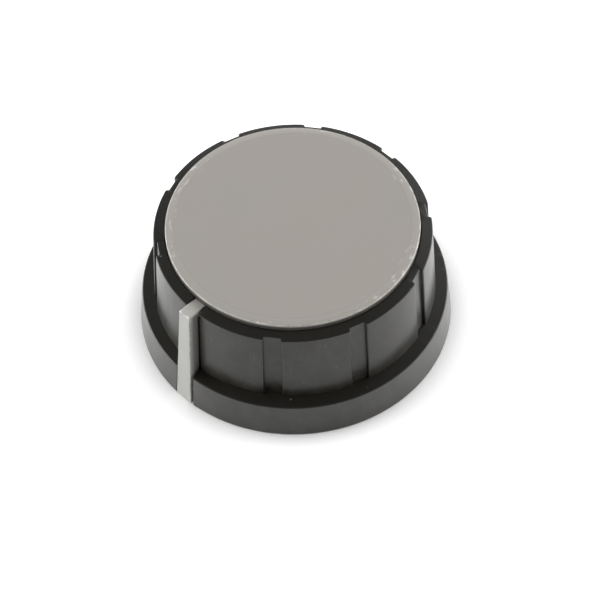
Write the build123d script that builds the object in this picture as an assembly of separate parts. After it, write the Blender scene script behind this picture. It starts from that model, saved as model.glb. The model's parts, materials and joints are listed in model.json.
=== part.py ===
"""Pointer knob: a black fluted body, a grey cap whose pointer arm runs down the side, and a hub spring.

Millimetres. The origin is the centre of the base, +Z runs up the shaft's axis and the pointer
faces -Y. The knob pushes on to a 6 mm shaft with a flat, from below.
"""
import os
from math import asin, cos, degrees, radians, sqrt, tan

from build123d import *

# Skirt: the flared foot of the body
BASE_RADIUS = 25.0
SKIRT_HEIGHT = 6.35
SKIRT_DRAFT = 5.4
SKIRT_WALL = 2.0
SKIRT_ROOF = 1.7
FOOT_CHAMFER = 0.2

# Ledge between the skirt and the grip, falling slightly outwards
LEDGE_WIDTH = 1.97
LEDGE_SLOPE = 10.8
LEDGE_CHAMFER = 0.2

# Grip: a tapered drum with shallow flutes that notch its rim
GRIP_HEIGHT = 13.32
GRIP_DRAFT = 2.7
GRIP_WALL = 1.5
FLUTE_COUNT = 10
FLUTE_WIDTH = 2.76
FLUTE_DEPTH = 0.58
FLUTE_EDGE_ROUND = 0.2

# Rim and the recess that the cap sits in
RIM_WIDTH = 1.82
RIM_SLOPE = 13.3
RIM_CHAMFER = 0.3
RECESS_DEPTH = 0.9
DECK_THICKNESS = 2.2

# Cap disc
CAP_CLEARANCE = 0.08
CAP_THICKNESS = 1.96
CAP_EDGE_CHAMFER = 0.2
BAND_WIDTH = 1.4
BAND_DROP = 0.1

# Pegs under the cap, pressed into holes in the deck
PEG_COUNT = 4
PEG_RADIUS = 1.3
PEG_CIRCLE_RADIUS = 12.5
PEG_STANDOUT = 0.9
PEG_CLEARANCE = 0.02
PEG_CHAMFER = 0.3

# Pointer arm: a wedge that widens from the rim down to the foot, where it is almost flush with the skirt
ARM_TOP_RISE = 0.15
ARM_TOP_WIDTH = 2.27
ARM_FOOT_WIDTH = 3.3
ARM_ROOT_WIDTH = 2.0
ARM_TOP_REACH = 1.58
ARM_FOOT_INSET = 0.05
ARM_FOOT_LIFT = 0.1
ARM_EDGE_ROUND = 0.2
ARM_ROOT_GAP = 0.1
ARM_SIDE_PLAY = 0.3
ARM_SIDE_GAP = 0.05
BRIDGE_THICKNESS = 1.6
BRIDGE_TAIL = 3.0
BRIDGE_GAP = 0.05
CHANNEL_WALL = 1.5

# Hub and the bore for a 6 mm shaft that is 4.6 mm thick across its flat
SHAFT_DIAMETER = 6.0
SHAFT_ACROSS_FLAT = 4.6
SHAFT_CLEARANCE = 0.03
LEAD_IN_CLEARANCE = 0.25
HUB_WALL = 2.2
HUB_LIFT = 1.2
BORE_DEPTH = 13.0
LEAD_IN_LENGTH = 4.0
MOUTH_CHAMFER = 0.4
HUB_SLIT_WIDTH = 1.0
HUB_SLIT_DEPTH = 5.6
HUB_SLIT_ANGLE = 45.0

# Ribs between the hub and the wall
RIB_COUNT = 4
RIB_THICKNESS = 1.4
RIB_LIFT = 7.0

# Spring ring round the split end of the hub
RING_WIDTH = 3.0
RING_THICKNESS = 0.5
RING_GROOVE_DEPTH = 0.3
RING_GROOVE_LIFT = 2.0
RING_CLEARANCE = 0.02
RING_OPENING = 50.0

# Cutting tools run this far past the faces that they open
OVERRUN = 1.0

SKIRT_TOP_RADIUS = BASE_RADIUS - SKIRT_HEIGHT * tan(radians(SKIRT_DRAFT))
SKIRT_ROOF_Z = SKIRT_HEIGHT - SKIRT_ROOF
SKIRT_INNER_RADIUS = BASE_RADIUS - SKIRT_WALL
GRIP_FOOT_RADIUS = SKIRT_TOP_RADIUS - LEDGE_WIDTH
GRIP_FOOT_Z = SKIRT_HEIGHT + LEDGE_WIDTH * tan(radians(LEDGE_SLOPE))
RIM_Z = GRIP_FOOT_Z + GRIP_HEIGHT
RIM_RADIUS = GRIP_FOOT_RADIUS - GRIP_HEIGHT * tan(radians(GRIP_DRAFT))
RECESS_RADIUS = RIM_RADIUS - RIM_WIDTH
RECESS_TOP_Z = RIM_Z + RIM_WIDTH * tan(radians(RIM_SLOPE))
SEAT_Z = RECESS_TOP_Z - RECESS_DEPTH
DECK_UNDERSIDE_Z = SEAT_Z - DECK_THICKNESS
CAP_RADIUS = RECESS_RADIUS - CAP_CLEARANCE
CAP_TOP_Z = SEAT_Z + CAP_THICKNESS
ARM_TOP_Z = RIM_Z + ARM_TOP_RISE
FLUTE_PITCH = 360.0 / FLUTE_COUNT
BORE_RADIUS = SHAFT_DIAMETER / 2 + SHAFT_CLEARANCE
LEAD_IN_RADIUS = SHAFT_DIAMETER / 2 + LEAD_IN_CLEARANCE
FLAT_OFFSET = SHAFT_ACROSS_FLAT - SHAFT_DIAMETER / 2 + SHAFT_CLEARANCE
HUB_RADIUS = BORE_RADIUS + HUB_WALL
RING_SEAT_RADIUS = HUB_RADIUS - RING_GROOVE_DEPTH
RING_BOTTOM_Z = HUB_LIFT + RING_GROOVE_LIFT

# The arm rests against one side of its channel, so the body's flutes stand a little round from it
POINTER_ANGLE = -90.0
BODY_TURN = degrees(asin((ARM_SIDE_PLAY - ARM_SIDE_GAP) / GRIP_FOOT_RADIUS))
CHANNEL_ANGLE = POINTER_ANGLE + BODY_TURN


def grip_radius(z):
    """Radius of the grip's tapered face at a height."""
    return GRIP_FOOT_RADIUS - (z - GRIP_FOOT_Z) * tan(radians(GRIP_DRAFT))


def ledge_z(radius):
    """Height of the ledge's slope, carried on inwards."""
    return SKIRT_HEIGHT + (SKIRT_TOP_RADIUS - radius) * tan(radians(LEDGE_SLOPE))


def flute_floor_radius(z):
    """Radius of a flute's floor, which keeps the grip's taper."""
    return grip_radius(z) - FLUTE_DEPTH


def wall_inner_radius(z):
    """Radius of the grip wall's inner face."""
    return flute_floor_radius(z) - GRIP_WALL


def outline(points):
    """A flat face from its corners."""
    return make_face(Polyline(*points, close=True))


def corner(face, point):
    """The corner of a flat face at a point."""
    return face.vertices().sort_by_distance(Vector(*point))[0]


def turned(face):
    """A solid turned about Z from a face drawn in (radius, z)."""
    return revolve(Plane.XZ * face, Axis.Z)


def skirt_form():
    """The skirt's outside, with the ledge carried on inwards under the grip."""
    foot = (BASE_RADIUS, 0)
    ledge = (SKIRT_TOP_RADIUS, SKIRT_HEIGHT)
    inner = (wall_inner_radius(GRIP_FOOT_Z), ledge_z(wall_inner_radius(GRIP_FOOT_Z)))
    section = outline([(0, 0), foot, ledge, inner, (0, inner[1])])
    section = chamfer(corner(section, foot), FOOT_CHAMFER)
    section = chamfer(corner(section, ledge), LEDGE_CHAMFER)
    return turned(section)


def flute_places():
    """The turn of each flute; the first is the arm's own."""
    return [Rot(0, 0, CHANNEL_ANGLE + FLUTE_PITCH * turn) for turn in range(FLUTE_COUNT)]


def flute_cutter(low, high):
    """The space of one flute, along the grip's taper: a flat-floored slot, rounded over at its mouth."""
    half = FLUTE_WIDTH / 2
    wing = half + 2 * FLUTE_EDGE_ROUND
    lip = FLUTE_DEPTH - GRIP_FOOT_RADIUS + sqrt(GRIP_FOOT_RADIUS**2 - half**2)
    top = lip + OVERRUN
    section = outline([
        (0, -half),
        (lip, -half),
        (lip, -wing),
        (top, -wing),
        (top, wing),
        (lip, wing),
        (lip, half),
        (0, half),
    ])
    for side in (-half, half):
        section = fillet(corner(section, (lip, side)), FLUTE_EDGE_ROUND)
    slot = Rot(0, -GRIP_DRAFT, 0) * extrude(section, (high - low) / cos(radians(GRIP_DRAFT)))
    return Pos(flute_floor_radius(low), 0, low) * slot


def fluted_drum():
    """The grip, rising out of the skirt and running past the rim."""
    low = SKIRT_HEIGHT - SKIRT_ROOF / 2
    high = RECESS_TOP_Z + OVERRUN
    drum = turned(outline([(0, low), (grip_radius(low), low), (grip_radius(high), high), (0, high)]))
    cutter = flute_cutter(low - OVERRUN, high + OVERRUN)
    return drum - [place * cutter for place in flute_places()]


def rim_form():
    """What the rim leaves of the drum: the slope up to the recess, with the outer edge chamfered."""
    wide = GRIP_FOOT_RADIUS + OVERRUN
    edge_radius = RIM_RADIUS - RIM_CHAMFER
    edge_z = RIM_Z + RIM_CHAMFER * tan(radians(RIM_SLOPE))
    return turned(outline([
        (0, 0),
        (wide, 0),
        (wide, edge_z - (wide - edge_radius)),
        (edge_radius, edge_z),
        (RECESS_RADIUS, RECESS_TOP_Z),
        (RECESS_RADIUS, SEAT_Z),
        (0, SEAT_Z),
    ]))


def outer_form():
    """The body's outside, still solid within."""
    return skirt_form() + (fluted_drum() & rim_form())


def cavity():
    """The hollow inside the body: wide in the skirt, narrower in the grip."""
    draft = tan(radians(SKIRT_DRAFT))
    return turned(outline([
        (0, -OVERRUN),
        (SKIRT_INNER_RADIUS + OVERRUN * draft, -OVERRUN),
        (SKIRT_INNER_RADIUS - SKIRT_ROOF_Z * draft, SKIRT_ROOF_Z),
        (wall_inner_radius(SKIRT_ROOF_Z), SKIRT_ROOF_Z),
        (wall_inner_radius(DECK_UNDERSIDE_Z), DECK_UNDERSIDE_Z),
        (0, DECK_UNDERSIDE_Z),
    ]))


def arm_section(z, side_gap, root_gap, front_gap):
    """The arm's wedge-shaped section at a height, pointing along -Y, grown by the given gaps."""
    share = z / ARM_TOP_Z
    front_width = ARM_FOOT_WIDTH + (ARM_TOP_WIDTH - ARM_FOOT_WIDTH) * share
    foot_front = BASE_RADIUS - ARM_FOOT_INSET
    top_front = RIM_RADIUS + ARM_TOP_REACH
    front = foot_front + (top_front - foot_front) * share
    root = flute_floor_radius(z) + ARM_ROOT_GAP
    spread = (front_width - ARM_ROOT_WIDTH) / (front - root)
    half_root = (ARM_ROOT_WIDTH - spread * root_gap) / 2 + side_gap
    half_front = (front_width + spread * front_gap) / 2 + side_gap
    return Pos(0, 0, z) * outline([
        (-half_root, root_gap - root),
        (-half_front, -front - front_gap),
        (half_front, -front - front_gap),
        (half_root, root_gap - root),
    ])


def arm():
    """The pointer arm that hangs down the side of the knob."""
    sections = [arm_section(ARM_FOOT_LIFT, 0, 0, 0), arm_section(ARM_TOP_Z, 0, 0, 0)]
    return loft(sections, ruled=True)


def arm_channel():
    """The space that the body leaves for the arm, in its grip and through its skirt."""
    ends = (-OVERRUN, RECESS_TOP_Z + OVERRUN)
    sections = [arm_section(z, ARM_SIDE_PLAY, ARM_ROOT_GAP, OVERRUN) for z in ends]
    return Rot(0, 0, BODY_TURN) * loft(sections, ruled=True)


def bridge(gap):
    """The bar that joins the arm to the cap through the rim, grown by a gap."""
    inner = CAP_RADIUS - BRIDGE_TAIL - gap
    outer = RIM_RADIUS + ARM_TOP_REACH / 2
    width = ARM_TOP_WIDTH + 2 * gap
    low = ARM_TOP_Z - BRIDGE_THICKNESS - gap
    return Pos(0, -(inner + outer) / 2, (low + ARM_TOP_Z) / 2) * Box(width, outer - inner, ARM_TOP_Z - low)


def bridge_channel():
    """The notch through the rim and the deck that the bridge lies in, open at the top."""
    slot = bridge(BRIDGE_GAP)
    return slot + Pos(0, 0, OVERRUN) * slot


def channel_backing():
    """The wall that closes the skirt's hollow behind the arm's channel."""
    width = ARM_FOOT_WIDTH + 2 * (ARM_SIDE_PLAY + CHANNEL_WALL)
    inner = wall_inner_radius(0)
    outer = SKIRT_INNER_RADIUS
    height = SKIRT_ROOF_Z
    block = Pos((inner + outer) / 2, 0, height / 2) * Box(outer - inner, width, height)
    return Rot(0, 0, CHANNEL_ANGLE) * block


def hub():
    """The sleeve for the shaft, with a groove round its end for the spring ring."""
    groove_top = RING_BOTTOM_Z + RING_WIDTH + 2 * RING_CLEARANCE
    return turned(outline([
        (0, HUB_LIFT),
        (HUB_RADIUS, HUB_LIFT),
        (HUB_RADIUS, RING_BOTTOM_Z),
        (RING_SEAT_RADIUS, RING_BOTTOM_Z),
        (RING_SEAT_RADIUS, groove_top),
        (HUB_RADIUS, groove_top),
        (HUB_RADIUS, DECK_UNDERSIDE_Z),
        (0, DECK_UNDERSIDE_Z),
    ]))


def shaft_space():
    """The blind bore: chamfered mouth, round lead-in, then a D with its flat away from the pointer."""
    lead_in_top = HUB_LIFT + MOUTH_CHAMFER + LEAD_IN_LENGTH
    mouth_radius = LEAD_IN_RADIUS + MOUTH_CHAMFER
    lead_in = turned(outline([
        (0, HUB_LIFT - OVERRUN),
        (mouth_radius, HUB_LIFT - OVERRUN),
        (mouth_radius, HUB_LIFT),
        (LEAD_IN_RADIUS, HUB_LIFT + MOUTH_CHAMFER),
        (LEAD_IN_RADIUS, lead_in_top),
        (0, lead_in_top),
    ]))
    beyond_flat = Pos(0, FLAT_OFFSET + BORE_RADIUS) * Rectangle(2 * BORE_RADIUS, 2 * BORE_RADIUS)
    section = Circle(BORE_RADIUS) - beyond_flat
    return lead_in + Pos(0, 0, lead_in_top) * extrude(section, HUB_LIFT + BORE_DEPTH - lead_in_top)


def hub_slit():
    """The slit across the hub's end that lets the spring ring close it on the shaft."""
    height = HUB_SLIT_DEPTH + OVERRUN
    slit = Box(2 * (HUB_RADIUS + OVERRUN), HUB_SLIT_WIDTH, height)
    return Pos(0, 0, HUB_LIFT - OVERRUN + height / 2) * Rot(0, 0, HUB_SLIT_ANGLE) * slit


def rib():
    """One rib from the hub to the grip's wall, along +X."""
    inner = (HUB_RADIUS + BORE_RADIUS) / 2
    outer = wall_inner_radius(RIB_LIFT) + GRIP_WALL / 2
    height = DECK_UNDERSIDE_Z - RIB_LIFT
    return Pos((inner + outer) / 2, 0, RIB_LIFT + height / 2) * Box(outer - inner, RIB_THICKNESS, height)


def peg_places():
    """Where the cap's pegs stand, midway between the ribs."""
    return PolarLocations(PEG_CIRCLE_RADIUS, PEG_COUNT, start_angle=180 / PEG_COUNT)


def knob_body():
    """The black moulding."""
    body = outer_form() - cavity()
    body += channel_backing()
    body += hub()
    body += PolarLocations(0, RIB_COUNT) * rib()
    body -= arm_channel()
    body -= bridge_channel()
    body -= shaft_space()
    body -= hub_slit()
    hole = Cylinder(PEG_RADIUS + PEG_CLEARANCE, DECK_THICKNESS + OVERRUN)
    hole = Pos(0, 0, SEAT_Z - DECK_THICKNESS / 2) * hole
    return body - [place * hole for place in peg_places()]


def cap_disc():
    """The grey disc, with a band round its face that falls slightly to the chamfered edge."""
    edge = (CAP_RADIUS, CAP_TOP_Z - BAND_DROP)
    band = (CAP_RADIUS - BAND_WIDTH, CAP_TOP_Z)
    section = outline([(0, SEAT_Z), (CAP_RADIUS, SEAT_Z), edge, band, (0, CAP_TOP_Z)])
    return turned(chamfer(corner(section, edge), CAP_EDGE_CHAMFER))


def peg():
    """One chamfered peg, hanging from the cap's underside."""
    length = DECK_THICKNESS + PEG_STANDOUT
    pin = Pos(0, 0, SEAT_Z - length / 2) * Cylinder(PEG_RADIUS, length)
    tip = pin.edges().sort_by(Axis.Z)[0]
    return chamfer(tip, PEG_CHAMFER)


def cap_pointer():
    """The grey moulding: disc, bridge, pointer arm and pegs."""
    pointer = arm() + bridge(0)
    front = pointer.faces().sort_by(Axis.Y)[0]
    pointer = fillet(front.edges(), ARM_EDGE_ROUND)
    return cap_disc() + pointer + [place * peg() for place in peg_places()]


def hub_spring_ring():
    """The open steel ring in the hub's groove."""
    inner = RING_SEAT_RADIUS + RING_CLEARANCE
    strip = Pos((inner + RING_THICKNESS / 2), RING_WIDTH / 2) * Rectangle(RING_THICKNESS, RING_WIDTH)
    ring = revolve(Plane.XZ * strip, Axis.Z, 360 - RING_OPENING)
    return Pos(0, 0, RING_BOTTOM_Z + RING_CLEARANCE) * Rot(0, 0, POINTER_ANGLE + RING_OPENING / 2) * ring


def main():
    """Writes one STEP file for each piece."""
    os.makedirs("parts", exist_ok=True)
    for piece in (knob_body, cap_pointer, hub_spring_ring):
        export_step(piece(), f"parts/{piece.__name__}.step")


main()
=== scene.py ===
# %% [markdown]
# # A pointer knob, dressed
#
# This lesson dresses a control knob: a black fluted body, a grey cap whose pointer arm runs down the
# side, and a spring ring under the hub. The solids come from CAD and fix every size. Blender gives
# them rounded edges, moulded plastic and soft light. Each step says what the piece is on the real
# knob, how it could be made, and why this way was chosen.

# %% Load the frame
import json
import math

import bmesh
import bpy
from mathutils import Matrix, Vector

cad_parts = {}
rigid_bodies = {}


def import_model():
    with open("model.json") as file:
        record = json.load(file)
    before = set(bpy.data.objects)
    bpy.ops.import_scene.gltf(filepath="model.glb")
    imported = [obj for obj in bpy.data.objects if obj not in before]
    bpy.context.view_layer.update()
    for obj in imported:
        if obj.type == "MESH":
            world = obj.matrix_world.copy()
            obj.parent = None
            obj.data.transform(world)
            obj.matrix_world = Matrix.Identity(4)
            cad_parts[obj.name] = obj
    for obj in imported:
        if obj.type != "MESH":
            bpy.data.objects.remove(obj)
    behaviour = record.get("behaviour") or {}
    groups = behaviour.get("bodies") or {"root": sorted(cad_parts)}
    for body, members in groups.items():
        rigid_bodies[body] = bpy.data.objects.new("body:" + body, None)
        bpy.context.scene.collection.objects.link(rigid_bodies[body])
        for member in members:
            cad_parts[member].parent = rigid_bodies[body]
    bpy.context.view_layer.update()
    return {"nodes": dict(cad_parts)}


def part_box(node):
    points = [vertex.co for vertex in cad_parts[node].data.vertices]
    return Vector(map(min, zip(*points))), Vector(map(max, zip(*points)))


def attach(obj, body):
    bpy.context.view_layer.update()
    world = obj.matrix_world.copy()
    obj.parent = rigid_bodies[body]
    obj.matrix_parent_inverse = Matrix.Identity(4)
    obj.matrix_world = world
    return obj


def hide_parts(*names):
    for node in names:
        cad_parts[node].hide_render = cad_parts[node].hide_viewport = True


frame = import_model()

MM = 0.001

# %% [markdown]
# ## The knob's sizes
#
# The knob stands on its skirt, centred on the Z axis, and its pointer faces -Y. Heights and widths
# that the solids show are read from their boxes, so that nothing is typed twice. The rest are the
# sizes of the section, in millimetres turned to metres. The outer walls lean in by a few degrees,
# which moulders call draft, so that the part leaves its mould.

# %% Sizes of the body's outside
body_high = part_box("knob_body")[1]
cap_low, cap_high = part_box("cap_pointer")
ring_low, ring_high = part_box("hub_spring_ring")

SKIRT_DRAFT = math.tan(math.radians(5.4))
GRIP_DRAFT = math.tan(math.radians(2.7))
LEDGE_SLOPE = math.tan(math.radians(10.8))
RIM_SLOPE = math.tan(math.radians(13.3))

BASE_RADIUS = 25.0 * MM
SKIRT_HEIGHT = 6.35 * MM
SKIRT_TOP_RADIUS = BASE_RADIUS - SKIRT_HEIGHT * SKIRT_DRAFT
LEDGE_WIDTH = 1.97 * MM
GRIP_HEIGHT = 13.32 * MM
GRIP_FOOT_RADIUS = SKIRT_TOP_RADIUS - LEDGE_WIDTH
GRIP_FOOT_Z = SKIRT_HEIGHT + LEDGE_WIDTH * LEDGE_SLOPE
RIM_Z = GRIP_FOOT_Z + GRIP_HEIGHT
RIM_RADIUS = GRIP_FOOT_RADIUS - GRIP_HEIGHT * GRIP_DRAFT
RIM_WIDTH = 1.82 * MM

RIM_ROUND = 0.15 * MM
RECESS_ROUND = 0.12 * MM
LEDGE_ROUND = 0.2 * MM
FOOT_ROUND = 0.27 * MM
HIDDEN_ROUND = 0.15 * MM
print("grip:", round(GRIP_FOOT_RADIUS / MM, 2), "mm at its foot,", round(RIM_RADIUS / MM, 2), "mm at the rim")

# %% Sizes of the flutes, the recess and the walls
FLUTE_COUNT = 10
FLUTE_HALF = 1.38 * MM
FLUTE_DEPTH = 0.58 * MM
FLUTE_ROUND = 0.2 * MM

RECESS_TOP_Z = body_high[2]
RECESS_RADIUS = RIM_RADIUS - RIM_WIDTH
SEAT_Z = RECESS_TOP_Z - 0.9 * MM
DECK_UNDERSIDE_Z = SEAT_Z - 2.2 * MM
GRIP_WALL = 1.5 * MM
SKIRT_WALL = 2.0 * MM
SKIRT_ROOF_Z = SKIRT_HEIGHT - 1.7 * MM


def flute_floor(z):
    """Radius of a flute's floor at a height."""
    return GRIP_FOOT_RADIUS - (z - GRIP_FOOT_Z) * GRIP_DRAFT - FLUTE_DEPTH


def wall_inner(z):
    """Radius of the grip's inner face at a height."""
    return flute_floor(z) - GRIP_WALL


print("the deck reaches from", round(DECK_UNDERSIDE_Z / MM, 2), "to", round(SEAT_Z / MM, 2), "mm")

# %% Sizes of the hub and the bore
GAP = 0.02 * MM
HUB_LIFT = 1.2 * MM
HUB_RADIUS = 5.23 * MM
RING_SEAT_RADIUS = HUB_RADIUS - 0.3 * MM
BORE_RADIUS = 3.03 * MM
BORE_TOP = HUB_LIFT + 13.0 * MM
FLAT_OFFSET = 1.63 * MM
LEAD_IN_RADIUS = 3.25 * MM
LEAD_IN_TOP = HUB_LIFT + 4.4 * MM
MOUTH_CHAMFER = 0.4 * MM
print("bore for a shaft of", round(2 * (BORE_RADIUS - GAP) / MM, 1), "mm")

# %% [markdown]
# ## Turning the body
#
# A moulded knob is a turned form before anything else. It could be a stack of cylinders, or a spline
# with a Screw modifier. Here the half section is drawn as a chain of vertices in the XZ plane, its
# corners are rounded while it is still flat, and the chain is spun round Z. Rounding a flat chain is
# exact, and the turned mesh comes out in clean rings.

# %% A lathe
PITCH_COLUMNS = 36
COLUMNS = PITCH_COLUMNS * FLUTE_COUNT
ROUND_STEPS = 4
MERGE = 0.001 * MM


def lathe(corners):
    """A bmesh turned from (radius, z, round) corners; round is how far the corner is cut back."""
    bm = bmesh.new()
    chain = [bm.verts.new((radius, 0, z)) for radius, z, _ in corners]
    for one, two in zip(chain, chain[1:]):
        bm.edges.new((one, two))
    for vertex, (_, _, back) in zip(chain, corners):
        if back:
            bmesh.ops.bevel(bm, geom=[vertex], offset=back, segments=ROUND_STEPS, profile=0.5,
                            affect="VERTICES", material=-1)
    bmesh.ops.spin(bm, geom=bm.verts[:] + bm.edges[:], cent=(0, 0, 0), axis=(0, 0, 1),
                   angle=math.tau, steps=COLUMNS, use_merge=True)
    bmesh.ops.remove_doubles(bm, verts=bm.verts, dist=MERGE)
    bmesh.ops.recalc_face_normals(bm, faces=bm.faces)
    return bm


# %% Turn the body
body = lathe([
    (0, SEAT_Z, 0),
    (RECESS_RADIUS, SEAT_Z, 0),
    (RECESS_RADIUS, RECESS_TOP_Z, RECESS_ROUND),
    (RIM_RADIUS, RIM_Z, RIM_ROUND),
    (GRIP_FOOT_RADIUS, GRIP_FOOT_Z, 0),
    (SKIRT_TOP_RADIUS, SKIRT_HEIGHT, LEDGE_ROUND),
    (BASE_RADIUS, 0, FOOT_ROUND),
    (BASE_RADIUS - SKIRT_WALL, 0, HIDDEN_ROUND),
    (BASE_RADIUS - SKIRT_WALL - SKIRT_ROOF_Z * SKIRT_DRAFT, SKIRT_ROOF_Z, 0),
    (wall_inner(SKIRT_ROOF_Z), SKIRT_ROOF_Z, HIDDEN_ROUND),
    (wall_inner(DECK_UNDERSIDE_Z), DECK_UNDERSIDE_Z, 0),
    (HUB_RADIUS, DECK_UNDERSIDE_Z, 0),
    (HUB_RADIUS, ring_high[2] + GAP, 0),
    (RING_SEAT_RADIUS, ring_high[2] + GAP, 0),
    (RING_SEAT_RADIUS, ring_low[2] - GAP, 0),
    (HUB_RADIUS, ring_low[2] - GAP, 0),
    (HUB_RADIUS, HUB_LIFT, HIDDEN_ROUND),
    (LEAD_IN_RADIUS + MOUTH_CHAMFER, HUB_LIFT, 0),
    (LEAD_IN_RADIUS, HUB_LIFT + MOUTH_CHAMFER, 0),
    (LEAD_IN_RADIUS, LEAD_IN_TOP, 0),
    (BORE_RADIUS, LEAD_IN_TOP, 0),
    (BORE_RADIUS, BORE_TOP, 0),
    (0, BORE_TOP, 0),
])
print("turned body:", len(body.faces), "faces")

# %% [markdown]
# ## Pressing in the flutes
#
# Ten shallow flutes run up the grip and notch its rim. Boolean cuts would leave ragged strips beside
# each flute. Instead the columns of the turned mesh are moved: in every pitch thirteen columns
# trace the flute, with a flat floor, two walls and a rounded edge on each side, and the other
# twenty-three spread over the pad. Each flute's columns then go on down the ledge and the skirt, a
# little spread, so that no face there is twisted. One of the ten flutes is where the pointer's
# channel will be cut. That channel is wider than the arm, which lies to one side in it, so the
# flutes are turned a little from the pointer.

# %% One pitch of the outline
PITCH = math.tau / FLUTE_COUNT
FLUTE_COLUMNS = 12
PAD_COLUMNS = PITCH_COLUMNS - FLUTE_COLUMNS
HALF_FLUTE_TURN = PITCH / PITCH_COLUMNS * FLUTE_COLUMNS / 2
CORNER_STEPS = 3
SKIRT_SHARES = (0.40, 0.74, 0.82, 0.90, 0.95, 1.0)
RING_STEP = GAP / 100


def pad_angles(edge):
    """Angles of a pad's columns, between the edges of two flutes."""
    return [edge + (PITCH - 2 * edge) * step / PAD_COLUMNS for step in range(1, PAD_COLUMNS)]


def pitch_outline(radius):
    """(angle, radius) of each column of a pitch, from the flute's left edge, round a ring."""
    mouth = math.sqrt((radius - FLUTE_ROUND) ** 2 - (FLUTE_HALF + FLUTE_ROUND) ** 2)
    edge = math.asin((FLUTE_HALF + FLUTE_ROUND) / (radius - FLUTE_ROUND))
    right = [(radius - FLUTE_DEPTH, FLUTE_HALF / 2), (radius - FLUTE_DEPTH, FLUTE_HALF)]
    for step in range(CORNER_STEPS + 1):
        turn = (math.pi / 2 - edge) * step / CORNER_STEPS
        right.append((
            mouth + FLUTE_ROUND * math.sin(turn),
            FLUTE_HALF + FLUTE_ROUND * (1 - math.cos(turn)),
        ))
    left = [(out, -side) for out, side in reversed(right)]
    flute = left + [(radius - FLUTE_DEPTH, 0)] + right
    points = [(math.atan2(side, out), math.hypot(side, out)) for out, side in flute]
    return points + [(angle, radius) for angle in pad_angles(edge)]


def skirt_angles():
    """Angles of a pitch's columns on the skirt, each just outside its column of the flute."""
    edge = math.asin((FLUTE_HALF + FLUTE_ROUND) / (GRIP_FOOT_RADIUS - FLUTE_ROUND))
    half = [edge * share for share in SKIRT_SHARES]
    return [-angle for angle in reversed(half)] + [0.0] + half + pad_angles(edge)


print("a pitch is", round(math.degrees(PITCH)), "degrees, and its pad takes", PAD_COLUMNS - 1, "columns")

# %% Press the flutes
SIDE_PLAY = 0.3 * MM
SIDE_GAP = 0.05 * MM
POINTER_ANGLE = math.radians(-90.0)
BODY_TURN = math.asin((SIDE_PLAY - SIDE_GAP) / GRIP_FOOT_RADIUS)
CHANNEL_ANGLE = POINTER_ANGLE + BODY_TURN


def press_flutes(bm):
    """Moves the grip's outer rings on to the fluted outline, and turns the skirt's to match."""
    outlines = {}
    skirt = skirt_angles()
    moved = 0
    for vertex in bm.verts:
        radius = math.hypot(vertex.co.x, vertex.co.y)
        z = vertex.co.z
        if radius < RIM_RADIUS - RIM_ROUND - GAP:
            continue
        column = round(math.atan2(vertex.co.y, vertex.co.x) / math.tau * COLUMNS) % COLUMNS
        pitch, place = divmod(column, PITCH_COLUMNS)
        if z < GRIP_FOOT_Z - GAP:
            angle, reach = skirt[place], radius
        else:
            ring = round(radius / RING_STEP)
            if ring not in outlines:
                outlines[ring] = pitch_outline(radius)
            angle, reach = outlines[ring][place]
            moved += 1
        angle += pitch * PITCH + HALF_FLUTE_TURN
        slope = LEDGE_SLOPE if z < SEAT_Z / 2 else RIM_SLOPE if z > RIM_Z - RIM_ROUND - GAP else 0
        vertex.co = (reach * math.cos(angle), reach * math.sin(angle), z + (radius - reach) * slope)
    turn = CHANNEL_ANGLE - HALF_FLUTE_TURN
    bmesh.ops.rotate(bm, verts=bm.verts, cent=(0, 0, 0), matrix=Matrix.Rotation(turn, 3, "Z"))
    return moved


print("moved", press_flutes(body), "vertices on to the flutes")

# %% [markdown]
# ## The flat in the bore
#
# The shaft has a flat, so the bore is a D. A boolean could fill it in. Here the wall of the bore
# that lies beyond the flat is simply pulled back to it, which keeps the rings whole.

# %% Flatten the bore
beyond = [
    vertex for vertex in body.verts
    if math.hypot(vertex.co.x, vertex.co.y) < BORE_RADIUS + GAP
    and LEAD_IN_TOP - GAP < vertex.co.z < BORE_TOP + GAP and vertex.co.y > FLAT_OFFSET
]
for vertex in beyond:
    vertex.co.y = FLAT_OFFSET
print("pulled", len(beyond), "vertices back to the flat")

# %% [markdown]
# ## Ribs, channel and slit
#
# What isn't turned is added or cut: four ribs that brace the hub, the wall behind the pointer's
# channel, the channel itself, the slot for the bridge, the slit that lets the hub close on its
# shaft, and the holes for the cap's pegs. These are plain blocks, wedges and rods, so exact
# booleans keep their edges crisp without harm to the rings.

# %% Helpers for plain solids
ROD_SIDES = 32


def as_object(name, bm):
    """Turns a bmesh into an object of the scene."""
    mesh = bpy.data.meshes.new(name)
    bm.to_mesh(mesh)
    bm.free()
    made = bpy.data.objects.new(name, mesh)
    bpy.context.collection.objects.link(made)
    return made


def block(bm, low, high, turn=0.0):
    """Adds a box between two corners, turned about Z."""
    size = [b - a for a, b in zip(low, high)]
    centre = [(a + b) / 2 for a, b in zip(low, high)]
    place = Matrix.Rotation(turn, 4, "Z") @ Matrix.Translation(centre) @ Matrix.Diagonal((*size, 1))
    bmesh.ops.create_cube(bm, size=1.0, matrix=place)


def rod(bm, place, radius, low_z, high_z):
    """Adds an upright rod, and gives its vertices."""
    centre = Matrix.Translation(place + Vector((0, 0, (low_z + high_z) / 2)))
    return bmesh.ops.create_cone(bm, cap_ends=True, segments=ROD_SIDES, radius1=radius, radius2=radius,
                                 depth=high_z - low_z, matrix=centre)["verts"]


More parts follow.
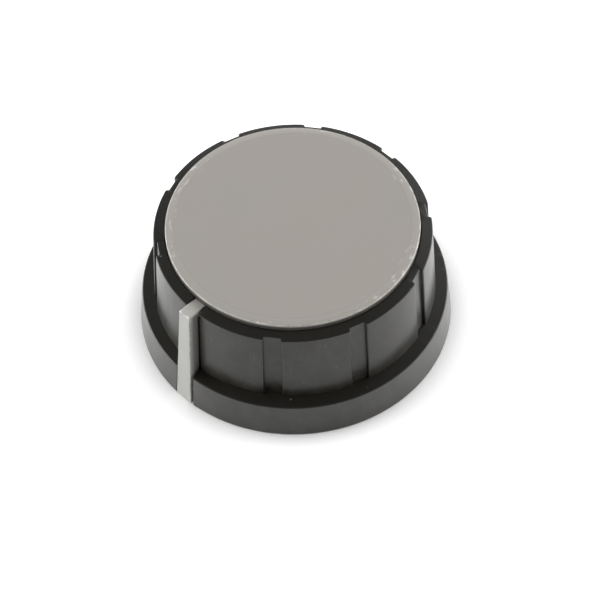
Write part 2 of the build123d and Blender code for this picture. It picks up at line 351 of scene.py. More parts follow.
def combine(target, tool, operation):
    """Applies a boolean to a target with a tool, and deletes the tool."""
    change = target.modifiers.new(operation, "BOOLEAN")
    change.operation = operation
    change.object = tool
    change.solver = "EXACT"
    ready = target.evaluated_get(bpy.context.evaluated_depsgraph_get())
    mesh = bpy.data.meshes.new_from_object(ready)
    target.modifiers.clear()
    old, target.data = target.data, mesh
    bpy.data.meshes.remove(old)
    bpy.data.objects.remove(tool)
    mesh.name = target.name


# %% Add the ribs and the channel's wall
RIB_COUNT = 4
RIB_HALF = 0.7 * MM
RIB_FOOT_Z = 7.0 * MM
RIB_START = HUB_RADIUS - 1.1 * MM
RIB_END = wall_inner(RIB_FOOT_Z) + 0.75 * MM
CHANNEL_WALL_HALF = 3.45 * MM
SINK = 0.5 * MM

body = as_object("body_shell", body)
additions = bmesh.new()
for rib in range(RIB_COUNT):
    block(additions, (RIB_START, -RIB_HALF, RIB_FOOT_Z), (RIB_END, RIB_HALF, DECK_UNDERSIDE_Z + SINK),
          rib * math.tau / RIB_COUNT)
block(additions, (wall_inner(0), -CHANNEL_WALL_HALF, 0),
      (BASE_RADIUS - SKIRT_WALL / 2, CHANNEL_WALL_HALF, SKIRT_ROOF_Z + SINK), CHANNEL_ANGLE)
combine(body, as_object("additions", additions), "UNION")
print("with ribs:", len(body.data.polygons), "faces")

# %% Sizes of the pointer arm and its wedge
ARM_TOP_Z = RIM_Z + 0.15 * MM
ARM_TOP_HALF = 2.27 * MM / 2
ARM_FOOT_HALF = 3.3 * MM / 2
ARM_ROOT_HALF = 2.0 * MM / 2
ARM_FOOT_Z = cap_low[2]
ARM_FRONT_FOOT = -cap_low[1]
ARM_FRONT_TOP = RIM_RADIUS + 1.58 * MM
ROOT_PLAY = 0.1 * MM
BRIDGE_LOW_Z = ARM_TOP_Z - 1.6 * MM
BRIDGE_TAIL = cap_high[0] - 3.0 * MM


def wedge_corners(z):
    """(half width, reach) of the arm's front and root at a height."""
    share = z / ARM_TOP_Z
    front = ARM_FRONT_FOOT + (ARM_FRONT_TOP - ARM_FRONT_FOOT) * share
    half = ARM_FOOT_HALF + (ARM_TOP_HALF - ARM_FOOT_HALF) * share
    return (half, front), (ARM_ROOT_HALF, flute_floor(z) + ROOT_PLAY)


def wedge(bm, low_z, high_z, side, root, front):
    """Adds the arm's wedge, grown sideways, at the root and at the front, and gives its vertices."""
    verts = bmesh.ops.create_cube(bm, size=2.0)["verts"]
    for vertex in verts:
        z = high_z if vertex.co.z > 0 else low_z
        (half_front, reach), (half_root, root_reach) = wedge_corners(z)
        spread = (half_front - half_root) / (reach - root_reach)
        if vertex.co.y < 0:
            half, out = half_front + spread * front + side, reach + front
        else:
            half, out = half_root - spread * root + side, root_reach - root
        vertex.co = (half * vertex.co.x, -out, z)
    return verts


print("arm:", round(2 * ARM_FOOT_HALF / MM, 2), "mm wide at its foot,", round(ARM_TOP_Z / MM, 2), "mm high")

# %% Cut the channel, the slit, the peg holes and the bridge's slot
PAST = 1.0 * MM
SLIT_HALF = 0.5 * MM
SLIT_TOP = HUB_LIFT + 5.6 * MM
PEG_COUNT = 4
PEG_REACH = 12.5 * MM
PEG_RADIUS = 1.3 * MM
PEG_HOLE_PAST = 0.9 * MM
PEG_PLACES = [
    Matrix.Rotation(math.pi / 4 + math.tau / PEG_COUNT * peg, 4, "Z") @ Vector((PEG_REACH, 0, 0))
    for peg in range(PEG_COUNT)
]

cuts = bmesh.new()
channel = wedge(cuts, -PAST, RECESS_TOP_Z + PAST, SIDE_PLAY, ROOT_PLAY, PAST)
bmesh.ops.rotate(cuts, verts=channel, cent=(0, 0, 0), matrix=Matrix.Rotation(BODY_TURN, 3, "Z"))
block(cuts, (-HUB_RADIUS - PAST, -SLIT_HALF, 0), (HUB_RADIUS + PAST, SLIT_HALF, SLIT_TOP), math.pi / 4)
for place in PEG_PLACES:
    rod(cuts, place, PEG_RADIUS + GAP, DECK_UNDERSIDE_Z - PEG_HOLE_PAST, SEAT_Z + PEG_HOLE_PAST)
bmesh.ops.recalc_face_normals(cuts, faces=cuts.faces)
combine(body, as_object("cuts", cuts), "DIFFERENCE")

slot = bmesh.new()
block(slot, (-ARM_TOP_HALF - SIDE_GAP, -RIM_RADIUS - PAST, BRIDGE_LOW_Z - SIDE_GAP),
      (ARM_TOP_HALF + SIDE_GAP, -BRIDGE_TAIL + SIDE_GAP, RECESS_TOP_Z + PAST))
combine(body, as_object("slot", slot), "DIFFERENCE")
print("finished body:", len(body.data.polygons), "faces")

# %% [markdown]
# ## Shading the rounded edges
#
# Rounded edges should catch a thin line of light while the faces beside them stay flat. Bumping the
# normals by hand is one way. Here everything is shaded smooth below 35 degrees, and a Weighted Normal
# modifier lets the large faces win, so the small rounds carry the whole turn.

# %% Shade a piece
CREASE = math.radians(35.0)


def shade(piece):
    """Smooth shading with crisp corners and flat faces."""
    piece.data.shade_smooth()
    piece.data.set_sharp_from_angle(angle=CREASE)
    weighted = piece.modifiers.new("weighted", "WEIGHTED_NORMAL")
    weighted.keep_sharp = True
    print(piece.name, "is shaded,", len(piece.data.polygons), "faces")


shade(body)

# %% [markdown]
# ## The cap's disc
#
# The grey moulding is one piece: a disc with a narrow band round its face, a bridge through the rim,
# and an arm that hangs down the side. The disc could be a cylinder with bevelled edges. It is turned
# on the same lathe as the body, because the band's faint fall to the edge is then just one more
# corner of the section.

# %% Turn the disc
CAP_TOP_Z = cap_high[2]
CAP_RADIUS = cap_high[0]
BAND_RADIUS = CAP_RADIUS - 1.4 * MM
BAND_FALL = 0.1 * MM
CAP_ROUND = 0.2 * MM

cap = as_object("cap_with_pointer", lathe([
    (0, CAP_TOP_Z, 0),
    (BAND_RADIUS, CAP_TOP_Z, 0),
    (CAP_RADIUS, CAP_TOP_Z - BAND_FALL, CAP_ROUND),
    (CAP_RADIUS, SEAT_Z, 0),
    (0, SEAT_Z, 0),
]))
print("disc:", round(CAP_RADIUS / MM, 2), "mm radius,", len(cap.data.polygons), "faces")

# %% [markdown]
# ## The pointer arm
#
# The arm widens towards its foot and is widest at its front. A scaled cube would do for a straight
# arm, but this one has an elbow where it meets the bridge. So it starts as two flat faces seen from
# the side, whose corners already stand at their half widths. These are extruded, the copies are
# mirrored to the other side, and the edges that a finger meets are bevelled. Then it is joined to
# the disc.

# %% Shape the arm
ARM_ROUND = 0.2 * MM
ARM_CORNER = math.radians(40)

arm = bmesh.new()
outline = {
    "front_foot": (-ARM_FRONT_FOOT, ARM_FOOT_Z, ARM_FOOT_HALF),
    "front_top": (-ARM_FRONT_TOP, ARM_TOP_Z, ARM_TOP_HALF),
    "elbow": (-flute_floor(BRIDGE_LOW_Z) - ROOT_PLAY, BRIDGE_LOW_Z, ARM_ROOT_HALF),
    "root_foot": (-flute_floor(ARM_FOOT_Z) - ROOT_PLAY, ARM_FOOT_Z, ARM_ROOT_HALF),
    "tail_top": (-BRIDGE_TAIL, ARM_TOP_Z, ARM_TOP_HALF),
    "tail_low": (-BRIDGE_TAIL, BRIDGE_LOW_Z, ARM_TOP_HALF),
}
near = {name: arm.verts.new((-half, y, z)) for name, (y, z, half) in outline.items()}
sides = [
    arm.faces.new([near[name] for name in ("front_foot", "front_top", "elbow", "root_foot")]),
    arm.faces.new([near[name] for name in ("front_top", "tail_top", "tail_low", "elbow")]),
]
grown = bmesh.ops.extrude_face_region(arm, geom=sides, use_keep_orig=True)["geom"]
for vertex in grown:
    if isinstance(vertex, bmesh.types.BMVert):
        vertex.co.x = -vertex.co.x
bmesh.ops.recalc_face_normals(arm, faces=arm.faces)
corner_edges = [
    edge for edge in arm.edges
    if edge.calc_face_angle(0) > ARM_CORNER and min(v.co.y for v in edge.verts) < -RIM_RADIUS
    and max(v.co.z for v in edge.verts) > ARM_TOP_Z / 2
]
bmesh.ops.bevel(arm, geom=corner_edges, offset=ARM_ROUND, segments=ROUND_STEPS, profile=0.5,
                affect="EDGES", material=-1)
print("arm:", len(arm.faces), "faces")
combine(cap, as_object("arm", arm), "UNION")

# %% [markdown]
# ## The pegs
#
# Four round pegs under the disc stand in the holes of the deck and hold the cap. They could be left
# out, since nobody sees them once the knob is whole, but the cap also has to look right when it is
# taken off. Each is a rod with a chamfered tip, so that it finds its hole.

# %% Hang the pegs
PEG_TIP_Z = DECK_UNDERSIDE_Z - 0.9 * MM
PEG_CHAMFER = 0.3 * MM
TIP_STEPS = 2

pegs = bmesh.new()
for place in PEG_PLACES:
    made = rod(pegs, place, PEG_RADIUS, PEG_TIP_Z, SEAT_Z + SINK)
    tips = {edge for vertex in made for edge in vertex.link_edges
            if max(v.co.z for v in edge.verts) < DECK_UNDERSIDE_Z}
    bmesh.ops.bevel(pegs, geom=list(tips), offset=PEG_CHAMFER, segments=TIP_STEPS, profile=0.5,
                    affect="EDGES", material=-1)
combine(cap, as_object("pegs", pegs), "UNION")
shade(cap)

# %% [markdown]
# ## Taking the solids' places
#
# The body and the cap now stand for their CAD solids, which step aside. The ring keeps its solid:
# it is a plain strip of steel that is seen only from below. Nothing turns on this knob, so every
# piece rides on the one body, root.

# %% Hand the pieces to the frame
for piece, node, slot_name in ((body, "knob_body", "black_plastic"), (cap, "cap_pointer", "grey_plastic")):
    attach(piece, "root")
    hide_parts(node)
    print(piece.name, "stands for", node)

# %% [markdown]
# ## Paint as arithmetic
#
# A material is a small calculation. Wired by hand, its nodes are hard to read, so a Wire stands for
# a number in the material and turns plain sums into Math nodes. Every other node comes from one
# method, which sets the node up first and then fills or links its sockets.

# %% A wire
class Wire:
    """What comes out of a node; sums on a number add Math nodes."""

    def __init__(self, paint, socket):
        self.paint = paint
        self.socket = socket

    def math(self, operation, *others):
        values = dict(enumerate((self, *others)))
        return self.paint.node("ShaderNodeMath", {"operation": operation}, values)

    def __add__(self, other):
        return self.math("ADD", other)

    def __sub__(self, other):
        return self.math("SUBTRACT", other)

    def __rsub__(self, other):
        return self * -1.0 + other

    def __mul__(self, other):
        return self.math("MULTIPLY", other)

    __radd__ = __add__
    __rmul__ = __mul__

    def rise(self, low, high):
        """0 below low and 1 above high, with a soft step between; the other way round falls."""
        settings = {"interpolation_type": "SMOOTHSTEP", "clamp": True}
        values = {"Value": self, "From Min": low, "From Max": high}
        return self.paint.node("ShaderNodeMapRange", settings, values)

    def close_to(self, centre, half):
        """1 at a value, and 0 further off than half."""
        return self.rise(centre - half, centre) * self.rise(centre + half, centre)


# %% A paint
class Paint:
    """A node tree with one method that adds nodes."""

    def __init__(self, tree):
        self.tree = tree
        tree.nodes.clear()

    def node(self, kind, settings=None, values=None, output=0):
        made = self.tree.nodes.new(kind)
        for name, value in (settings or {}).items():
            setattr(made, name, value)
        for name, value in (values or {}).items():
            source = value.socket if isinstance(value, Wire) else value
            if isinstance(source, bpy.types.NodeSocket):
                self.tree.links.new(source, made.inputs[name])
            else:
                made.inputs[name].default_value = source
        return Wire(self, made.outputs[output]) if made.outputs else made


# %% Small helpers for paints
def new_paint(name):
    """A new material, its paint, and the place on the piece."""
    material = bpy.data.materials.new(name)
    material.use_nodes = True
    paint = Paint(material.node_tree)
    return material, paint, paint.node("ShaderNodeTexCoord", output="Object")


def split(paint, vector):
    """The x, y and z of a vector."""
    return [paint.node("ShaderNodeSeparateXYZ", values={"Vector": vector}, output=axis) for axis in range(3)]


def noise(paint, place, per_metre, detail=2.0, roughness=0.5):
    """Noise over a piece, with about so many waves in a metre."""
    return paint.node("ShaderNodeTexNoise", values={
        "Vector": place, "Scale": per_metre, "Detail": detail, "Roughness": roughness})


def mix(paint, factor, one, other):
    """A colour between two, by a wire; the first may be a wire too."""
    return paint.node("ShaderNodeMix", {"data_type": "RGBA"}, {
        "Factor": factor, "A": (*one, 1.0) if isinstance(one, tuple) else one, "B": (*other, 1.0)}, "Result")


def dress(piece, material):
    """Gives a piece its one material."""
    piece.data.materials.clear()
    piece.data.materials.append(material)
    print(material.name, "on", piece.name, "has", len(material.node_tree.nodes), "nodes")


# %% [markdown]
# ## Black plastic
#
# The body is satin black plastic. Its own colour is nearly nothing: what the eye reads is the bench
# reflected in the pads. One layer is either dull like rubber or bright like lacquer, so a thin clear
# coat lies over the plastic, and both reflect weakly. Handling does the rest: cloudy smears and
# streaks on the upright walls, a little dust on one side, fine scuffs on the pads, pale chips on the
# edges, and a few specks. Two greys in the colour are painted sheen: an even grey over the skirt,
# and the one-sided grey where the dust lies. Masks made from the height and the distance from the
# axis keep each of them to its own place, so the rim, the ledge and the hollow stay dark.

# %% Find the body's walls and edges
LEDGE_CHIPS = 0.6


def body_masks(x, y, z):
    """The grip's side, the skirt's side, and the outer edges of the rim and the ledge."""
    radius = (x * x + y * y).math("SQRT")
    grip = (z.rise(GRIP_FOOT_Z + 0.05 * MM, GRIP_FOOT_Z + 0.4 * MM)
            * z.rise(RIM_Z - 0.05 * MM, RIM_Z - 0.2 * MM)
            * radius.rise(RIM_RADIUS - 1.2 * MM, RIM_RADIUS - 0.9 * MM))
    skirt = (z.rise(SKIRT_HEIGHT - 0.05 * MM, SKIRT_HEIGHT - 0.2 * MM)
             * radius.rise(SKIRT_TOP_RADIUS - 0.9 * MM, SKIRT_TOP_RADIUS - 0.6 * MM))
    rim_edge = z.rise(RIM_Z - 0.22 * MM, RIM_Z - 0.10 * MM) * z.rise(RIM_Z + 0.12 * MM, RIM_Z)
    ledge_edge = (z.rise(SKIRT_HEIGHT - 0.18 * MM, SKIRT_HEIGHT - 0.08 * MM)
                  * z.rise(SKIRT_HEIGHT + 0.06 * MM, SKIRT_HEIGHT))
    return grip, skirt, rim_edge + ledge_edge * LEDGE_CHIPS


# %% Tones and amounts for the black plastic
BLACK = (0.0092, 0.0085, 0.0060)
FILM_AND_SHEEN_GREY = (0.17, 0.17, 0.158)
CHIP_GREY = (0.42, 0.41, 0.38)
SMEAR_SHARE, DUST_AND_SHEEN_SHARE, SKIRT_SHEEN_SHARE = 0.125, 0.09, 0.13
CHIP_SHARE, SPECK_SHARE, SCUFF_SHARE = 0.45, 0.35, 0.12
STREAK_STRETCH = 0.35
CLOUDS_IN_SMEARS, STREAKS_IN_SMEARS = 0.6, 0.5
# The dust lies on one side, and its grey there is also a painted sheen.
DUST_AND_SHEEN_SIDE = (0.82, 0.57)
DUST_AND_SHEEN_FROM, DUST_AND_SHEEN_FULL = 15.0 * MM, 23.0 * MM
EVEN_DUST_AND_SHEEN, CLOUDY_DUST_AND_SHEEN = 0.7, 0.6
GRAIN_DEPTH, WAVE_DEPTH, STREAK_DEPTH, CHIP_DEPTH = 0.25, 6.0, 0.5, 1.5
BUMP_DISTANCE = 0.02 * MM
print("dust lies from", round(DUST_AND_SHEEN_FROM / MM), "mm out, on the side towards", DUST_AND_SHEEN_SIDE)


# %% Mix the black plastic
def black_plastic():
    """Satin black under a thin coat, with a film from handling, a painted sheen on the skirt and on one side,
    and small pale marks.
    """
    material, paint, place = new_paint("black_plastic")
    x, y, z = split(paint, place)
    grip_wall, skirt_wall, edges = body_masks(x, y, z)
    walls = grip_wall + skirt_wall

    upright = paint.node("ShaderNodeMapping", values={"Vector": place, "Scale": (1.0, 1.0, STREAK_STRETCH)})
    streaks = noise(paint, upright, per_metre=420.0, detail=3.0, roughness=0.55).rise(0.42, 0.72)
    clouds = noise(paint, place, per_metre=190.0, detail=4.0, roughness=0.62).rise(0.36, 0.66)
    smears = walls * (clouds * CLOUDS_IN_SMEARS + streaks * STREAKS_IN_SMEARS)
    # One side, seen edge on, gets dust and a painted sheen in the same grey.
    dust_and_sheen_side = (x * DUST_AND_SHEEN_SIDE[0] + y * DUST_AND_SHEEN_SIDE[1]).rise(DUST_AND_SHEEN_FROM, DUST_AND_SHEEN_FULL)
    dust_and_sheen = walls * dust_and_sheen_side * (EVEN_DUST_AND_SHEEN + clouds * CLOUDY_DUST_AND_SHEEN)
    # The skirt's even grey share is a painted sheen, standing in for the bench mirrored in it.
    film_and_sheen = smears * SMEAR_SHARE + dust_and_sheen * DUST_AND_SHEEN_SHARE + skirt_wall * SKIRT_SHEEN_SHARE
    colour = mix(paint, film_and_sheen, BLACK, FILM_AND_SHEEN_GREY)

    scuffs = noise(paint, upright, per_metre=2100.0, roughness=0.6).rise(0.64, 0.74) * clouds * grip_wall
    chips = noise(paint, place, per_metre=1300.0, detail=1.0).rise(0.74, 0.80) * edges
    specks = noise(paint, place, per_metre=1900.0, detail=0.0).rise(0.88, 0.92)
    colour = mix(paint, chips * CHIP_SHARE + specks * SPECK_SHARE + scuffs * SCUFF_SHARE, colour, CHIP_GREY)

    grain = noise(paint, place, per_metre=4500.0)
    wave = noise(paint, place, per_metre=90.0, detail=1.0)
    height = grain * GRAIN_DEPTH + wave * WAVE_DEPTH + streaks * STREAK_DEPTH - chips * CHIP_DEPTH
    bump = paint.node("ShaderNodeBump", values={
        "Strength": 0.35, "Distance": BUMP_DISTANCE, "Height": height})
    shader = paint.node("ShaderNodeBsdfPrincipled", values={
        "Base Color": colour, "Roughness": 0.3 + smears * 0.18, "IOR": 1.28, "Normal": bump,
        "Coat Weight": 1.0, "Coat IOR": 1.24, "Coat Roughness": 0.28})
    paint.node("ShaderNodeOutputMaterial", values={"Surface": shader})
    return material


dress(body, black_plastic())

# %% [markdown]
# ## Grey plastic on the disc
#
# The cap is one warm grey moulding, duller than the body. The face is quiet: a slow drift of tone
# and a very fine grain. Its edge tells the knob's age. The band is painted a little paler, an even
# painted sheen with rubbed flecks in it, and the corner beside it holds dirt. The worn stretches of
# the band have pale nicks and scrapes, the lip has a broken pale line that is a painted highlight,
# and the wall that stands in the recess is darkened with painted shade. The scrapes follow the rim,
# so their noise is read in unrolled coordinates: the way along the edge, and the distance from the
# axis.

# %% Tones and amounts for the disc
GREY_WARM = (0.378, 0.347, 0.319)
GREY_COOL = (0.365, 0.347, 0.320)
BAND_SHEEN_AND_WEAR_GREY = (0.40, 0.395, 0.365)
CORNER_GREY = (0.16, 0.15, 0.135)
SCRAPE_GREY = (0.62, 0.60, 0.55)
NICK_AND_HIGHLIGHT_GREY = (0.68, 0.67, 0.62)
RECESS_SHADE_GREY = (0.035, 0.034, 0.028)
BAND_SHEEN_SHARE, BAND_FLECKS = 0.10, 0.35
CORNER_SHARE, RECESS_SHADE_SHARE = 0.18, 0.92
SCRAPE_SHARE, NICK_SHARE, LIP_HIGHLIGHT_SHARE = 0.55, 0.5, 0.32
SCRAPE_STRETCH = 0.3
print("the band takes", round((CAP_RADIUS - BAND_RADIUS) / MM, 2), "mm of the disc's face")


# %% Colour the disc
def disc_colour(paint, place, axes, drift, flecks):
    """The colour of the disc, and a mask of the marks that are cut into it."""
    x, y, z = axes
    radius = (x * x + y * y).math("SQRT")
    on_top = z.rise(CAP_TOP_Z - 0.35 * MM, CAP_TOP_Z - 0.2 * MM)
    on_disc = radius.rise(CAP_RADIUS + 0.12 * MM, CAP_RADIUS + 0.04 * MM)

    colour = mix(paint, drift.rise(0.30, 0.70), GREY_WARM, GREY_COOL)
    # The band is painted paler all round: the even share is a painted sheen, the flecks are rubbed wear.
    band = radius.rise(BAND_RADIUS - 0.03 * MM, BAND_RADIUS + 0.12 * MM) * on_top
    colour = mix(paint, band * (BAND_SHEEN_SHARE + flecks * BAND_FLECKS), colour, BAND_SHEEN_AND_WEAR_GREY)
    corner = radius.close_to(BAND_RADIUS, 0.09 * MM) * on_top
    colour = mix(paint, corner * CORNER_SHARE, colour, CORNER_GREY)

    worn = noise(paint, place, per_metre=110.0, detail=0.0).rise(0.50, 0.60)
    along = y.math("ARCTAN2", x) * (CAP_RADIUS * SCRAPE_STRETCH)
    unrolled = paint.node("ShaderNodeCombineXYZ", values={"X": along, "Y": radius})
    scrapes = (noise(paint, unrolled, per_metre=1500.0, detail=1.0).rise(0.61, 0.70) * worn * on_top
               * radius.rise(CAP_RADIUS - 1.9 * MM, CAP_RADIUS - 1.2 * MM))
    lip = radius.rise(CAP_RADIUS - 0.28 * MM, CAP_RADIUS - 0.12 * MM) * on_top
    nicks = (flecks.rise(0.62, 0.68) * worn * on_top
             * radius.rise(CAP_RADIUS - 1.1 * MM, CAP_RADIUS - 0.5 * MM))
    colour = mix(paint, scrapes * SCRAPE_SHARE, colour, SCRAPE_GREY)
    # The lip's broken pale line is a painted highlight; the nicks beside it are wear.
    lip_highlight = lip * flecks.rise(0.35, 0.60)
    colour = mix(paint, lip_highlight * LIP_HIGHLIGHT_SHARE + nicks * NICK_SHARE, colour, NICK_AND_HIGHLIGHT_GREY)

    # The wall below the lip is darkened with painted shade, more so further down the recess.
    recess_shade = (z.rise(CAP_TOP_Z - 0.12 * MM, CAP_TOP_Z - 0.62 * MM) * on_disc
             * radius.rise(CAP_RADIUS - 0.5 * MM, CAP_RADIUS - 0.2 * MM))
    return mix(paint, recess_shade * RECESS_SHADE_SHARE, colour, RECESS_SHADE_GREY), nicks + scrapes


# %% [markdown]
# ## Grey plastic on the arm
#
# The arm is painted paler than the disc: partly its own lighter tone, partly painted light. Its front
# face keeps nearly the disc's tone, the sides are darkened with painted shade where they go down into
# the channel, and the edges round the front carry a broken near-white line that is partly a painted
# highlight and partly worn nicks. Two sums place these: how far a point lies in behind the sloping
# front face, and how far it lies from the middle, corrected for the way the arm widens.

# %% Colour the arm
# The arm's pale grey is partly its own tone and partly painted light.
ARM_PALE_AND_LIT_GREY = (0.545, 0.530, 0.495)
ARM_FRONT_GREY = (0.350, 0.352, 0.336)
CHANNEL_SHADE_GREY = (0.10, 0.10, 0.094)
HIGHLIGHT_AND_WEAR_GREY = (0.80, 0.79, 0.75)
ARM_PALE_AND_LIT_SHARE, FRONT_SHARE, CHANNEL_SHADE_SHARE = 0.9, 0.9, 0.75
EDGE_HIGHLIGHT_SHARE, BROW_HIGHLIGHT_SHARE = 0.45, 0.9


def arm_colour(paint, axes, colour, flecks):
    """The colour of the disc, changed on the arm."""
    x, y, z = axes
    on_arm = y.rise(-CAP_RADIUS, -RIM_RADIUS - 0.4 * MM)
    share = z * (1 / ARM_TOP_Z)
    side = x.math("ABSOLUTE") + share * (ARM_FOOT_HALF - ARM_TOP_HALF)
    behind = y + ARM_FRONT_FOOT + share * (ARM_FRONT_TOP - ARM_FRONT_FOOT)

    # The arm is painted paler than the disc, partly as painted light.
    colour = mix(paint, on_arm * ARM_PALE_AND_LIT_SHARE, colour, ARM_PALE_AND_LIT_GREY)
    front = behind.rise(0.22 * MM, 0.10 * MM) * on_arm
    colour = mix(paint, front * FRONT_SHARE, colour, ARM_FRONT_GREY)
    # The sides are darkened with painted shade, deeper into the channel and below the top.
    recess_shade = behind.rise(0, 1.2 * MM) * z.rise(ARM_TOP_Z - 0.1 * MM, ARM_TOP_Z - 0.5 * MM) * on_arm
    colour = mix(paint, recess_shade * CHANNEL_SHADE_SHARE, colour, CHANNEL_SHADE_GREY)

    # The near-white line on the front edges and the top front edge is partly a painted highlight, partly worn
    # nicks.
    edge = side.close_to(ARM_FOOT_HALF - 0.06 * MM, 0.16 * MM) * behind.rise(0.28 * MM, 0.12 * MM)
    brow_highlight = z.close_to(ARM_TOP_Z - 0.06 * MM, 0.18 * MM) * behind.rise(0.32 * MM, 0.14 * MM) * on_arm
    highlight_and_wear = (edge * EDGE_HIGHLIGHT_SHARE + brow_highlight * BROW_HIGHLIGHT_SHARE) * flecks.rise(0.40, 0.56)
    return mix(paint, highlight_and_wear, colour, HIGHLIGHT_AND_WEAR_GREY)


# %% Mix the grey plastic
FINE_GRAIN_DEPTH, MARK_DEPTH = 0.5, 1.5


def grey_plastic():
    """Matt warm grey, with the disc's and the arm's own wear."""
    material, paint, place = new_paint("grey_plastic")
    axes = split(paint, place)
    drift = noise(paint, place, per_metre=75.0, detail=3.0)
    grain = noise(paint, place, per_metre=5000.0)
    flecks = noise(paint, place, per_metre=1100.0, roughness=0.6)
    colour, marks = disc_colour(paint, place, axes, drift, flecks)
    height = grain * FINE_GRAIN_DEPTH - marks * MARK_DEPTH
    bump = paint.node("ShaderNodeBump", values={
        "Strength": 0.3, "Distance": BUMP_DISTANCE, "Height": height})
    shader = paint.node("ShaderNodeBsdfPrincipled", values={
        "Base Color": arm_colour(paint, axes, colour, flecks), "Roughness": 0.58 + drift * 0.08,
        "IOR": 1.4, "Normal": bump})
    paint.node("ShaderNodeOutputMaterial", values={"Surface": shader})
    return material


dress(cap, grey_plastic())

# %% [markdown]
# ## Spring steel
#
# The open ring round the hub is bent from rolled strip. It keeps its CAD solid, and gets a steel
# with fine rolling marks that run round it. An anisotropic shader could draw them by itself, but a
# stretched noise in the colour, the roughness and the bump is lighter to bake and looks the same
# at this size.

# %% Mix the spring steel
STEEL_DARK = (0.42, 0.42, 0.41)
STEEL_LIGHT = (0.62, 0.62, 0.60)
MARK_STRETCH = 14.0
MARK_DISTANCE = 0.005 * MM


def spring_steel():
    """Plain steel strip with rolling marks."""
    material, paint, place = new_paint("spring_steel")
    along = paint.node("ShaderNodeMapping", values={"Vector": place, "Scale": (1.0, 1.0, MARK_STRETCH)})
    marks = noise(paint, along, per_metre=900.0, detail=3.0)
    bump = paint.node("ShaderNodeBump", values={"Strength": 0.3, "Distance": MARK_DISTANCE, "Height": marks})
    shader = paint.node("ShaderNodeBsdfPrincipled", values={
        "Base Color": mix(paint, marks, STEEL_DARK, STEEL_LIGHT), "Metallic": 1.0,
        "Roughness": 0.25 + marks * 0.2, "Normal": bump})
    paint.node("ShaderNodeOutputMaterial", values={"Surface": shader})
    return material


dress(frame["nodes"]["hub_spring_ring"], spring_steel())

# %% [markdown]
# ## A white floor with a soft shadow
#
# The knob lies on a white bench that melts into the background, with only a narrow dark line where
# it touches. A floor lit from the tent alone is grey, and a brighter tent would bleach the knob. So
# the floor has a glow of its own, which only the camera and mirrored rays see. The glow fades where
# the knob closes off the sky, which an Ambient Occlusion node measures, so it paints a contact shadow
# round the foot on top of the real one.

# %% Lay the floor
FLOOR_RADIUS = 4.0
FLOOR_SIDES = 96
FLOOR_WHITE = (0.85, 0.85, 0.85, 1.0)
GLOW = 0.54
SHADOW_REACH = 6.0 * MM
SHADOW_SAMPLES = 16
PURE_WHITE = (1, 1, 1, 1)

floor_mesh = bmesh.new()
bmesh.ops.create_circle(floor_mesh, cap_ends=True, segments=FLOOR_SIDES, radius=FLOOR_RADIUS)
floor = as_object("floor", floor_mesh)

floor_material = bpy.data.materials.new("floor_white")
floor_material.use_nodes = True
paint = Paint(floor_material.node_tree)
matt = paint.node("ShaderNodeBsdfDiffuse", values={"Color": FLOOR_WHITE})
open_sky = paint.node("ShaderNodeAmbientOcclusion", {"samples": SHADOW_SAMPLES},
                      {"Distance": SHADOW_REACH}, "AO")
# The glow fades with the occlusion near the knob, which paints a contact shadow.
glow = paint.node("ShaderNodeEmission", values={
    "Color": PURE_WHITE, "Strength": open_sky.rise(0.30, 1.0) * GLOW})
direct, mirrored, through = [
    paint.node("ShaderNodeLightPath", output=ray)
    for ray in ("Is Camera Ray", "Is Glossy Ray", "Is Transmission Ray")
]
lift = paint.node("ShaderNodeMixShader", values={0: direct + mirrored + through, 2: glow})
sheet = paint.node("ShaderNodeAddShader", values={0: matt, 1: lift})
paint.node("ShaderNodeOutputMaterial", values={"Surface": sheet})
dress(floor, floor_material)

# %% [markdown]
# ## The light
#
# Lamps would draw hard spots on satin plastic. The light is a tent instead, painted on the world:
# bright all round and low down, dim straight above and behind the camera, so that level faces stay
# dark and upright ones reflect white. The bright band is lower on the camera's side and on the far
# side. Three soft patches then even out the pads: one off the pointer's left, one behind the knob,
# and a weak one round the camera.

# %% Light the tent
VIEW_DEGREES = 46.8
VIEW_AZIMUTH = math.radians(VIEW_DEGREES)
toward_camera = Vector((math.sin(VIEW_AZIMUTH), -math.cos(VIEW_AZIMUTH), 0))
CEILING = 0.10
CEILING_BEHIND = 0.30
BAND_STRENGTH = 8.3
FRONT_DIP = 0.32
BACK_DIP = 0.22
PATCHES = (
    {"azimuth": -55, "elevation": 20, "outer": 35, "inner": 10, "strength": 2.3},
    {"azimuth": 170, "elevation": 20, "outer": 40, "inner": 15, "strength": 1.9},
    {"azimuth": VIEW_DEGREES, "elevation": 45, "outer": 42, "inner": 15, "strength": 0.25},
)

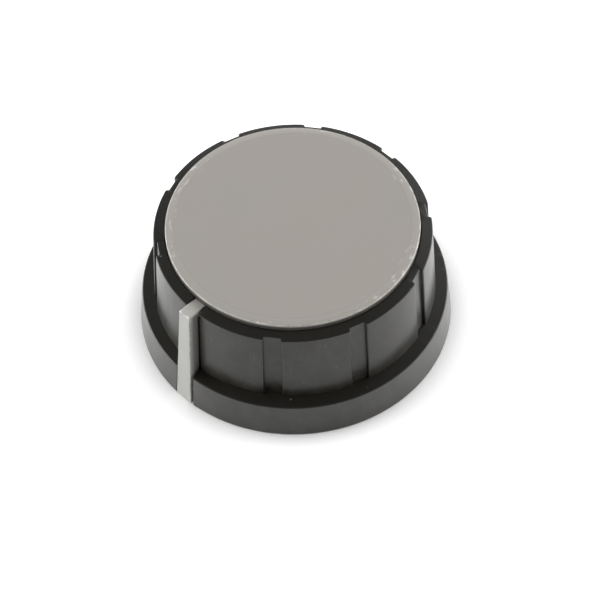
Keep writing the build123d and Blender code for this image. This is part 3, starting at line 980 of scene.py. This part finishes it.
world = bpy.data.worlds.new("tent")
bpy.context.scene.world = world
world.use_nodes = True
paint = Paint(world.node_tree)
across, deep, up = split(paint, paint.node("ShaderNodeTexCoord", output="Generated"))
facing = across * toward_camera.x + deep * toward_camera.y
camera_side = facing.rise(0.1, 0.8)
back_side = facing.rise(-0.35, -0.85)
low_band = (up + camera_side * FRONT_DIP + back_side * BACK_DIP).rise(0.42, 0.18)


def patch(azimuth, elevation, outer, inner, strength):
    """A soft round patch of the tent; azimuth 0 is the pointer's side, and 90 degrees is +X."""
    turn, tilt = math.radians(azimuth), math.radians(elevation)
    aim = Vector((math.sin(turn) * math.cos(tilt), -math.cos(turn) * math.cos(tilt), math.sin(tilt)))
    nearness = across * aim.x + deep * aim.y + up * aim.z
    return nearness.rise(math.cos(math.radians(outer)), math.cos(math.radians(inner))) * strength


tent = CEILING + CEILING_BEHIND * (1 - camera_side) + low_band * BAND_STRENGTH
for soft in PATCHES:
    tent = tent + patch(**soft)
background = paint.node("ShaderNodeBackground", values={"Color": PURE_WHITE, "Strength": tent})
paint.node("ShaderNodeOutputWorld", values={"Surface": background})
print("tent:", len(world.node_tree.nodes), "nodes,", len(PATCHES), "patches")

# %% [markdown]
# ## The camera
#
# A long lens looks down at a bit over fifty degrees, from between the pointer and the knob's right
# side. It is rolled by two degrees and aims slightly past the centre of the base. Euler angles
# would hide all that in three numbers, so the camera's axes are worked out and put in its matrix.

# %% Place the camera
ELEVATION = math.radians(52.45)
ROLL = math.radians(-2.08)
DISTANCE = 457.3 * MM
AIM_RIGHT = 0.716 * MM
AIM_UP = 1.229 * MM
LENS = 169.9
SENSOR = 36.0

right = Vector((math.cos(VIEW_AZIMUTH), math.sin(VIEW_AZIMUTH), 0))
back = toward_camera * math.cos(ELEVATION) + Vector((0, 0, math.sin(ELEVATION)))
upward = back.cross(right)
camera_data = bpy.data.cameras.new("camera")
camera_data.lens = LENS
camera_data.sensor_width = SENSOR
camera = bpy.data.objects.new("camera", camera_data)
level = Matrix((right, upward, back)).transposed().to_4x4()
camera.matrix_world = (
    Matrix.Translation(back * DISTANCE + right * AIM_RIGHT + upward * AIM_UP) @ level
    @ Matrix.Rotation(ROLL, 4, "Z"))
bpy.context.collection.objects.link(camera)
bpy.context.scene.camera = camera
bpy.context.scene.view_settings.view_transform = "Standard"
print("camera at", [round(value, 4) for value in camera.location])
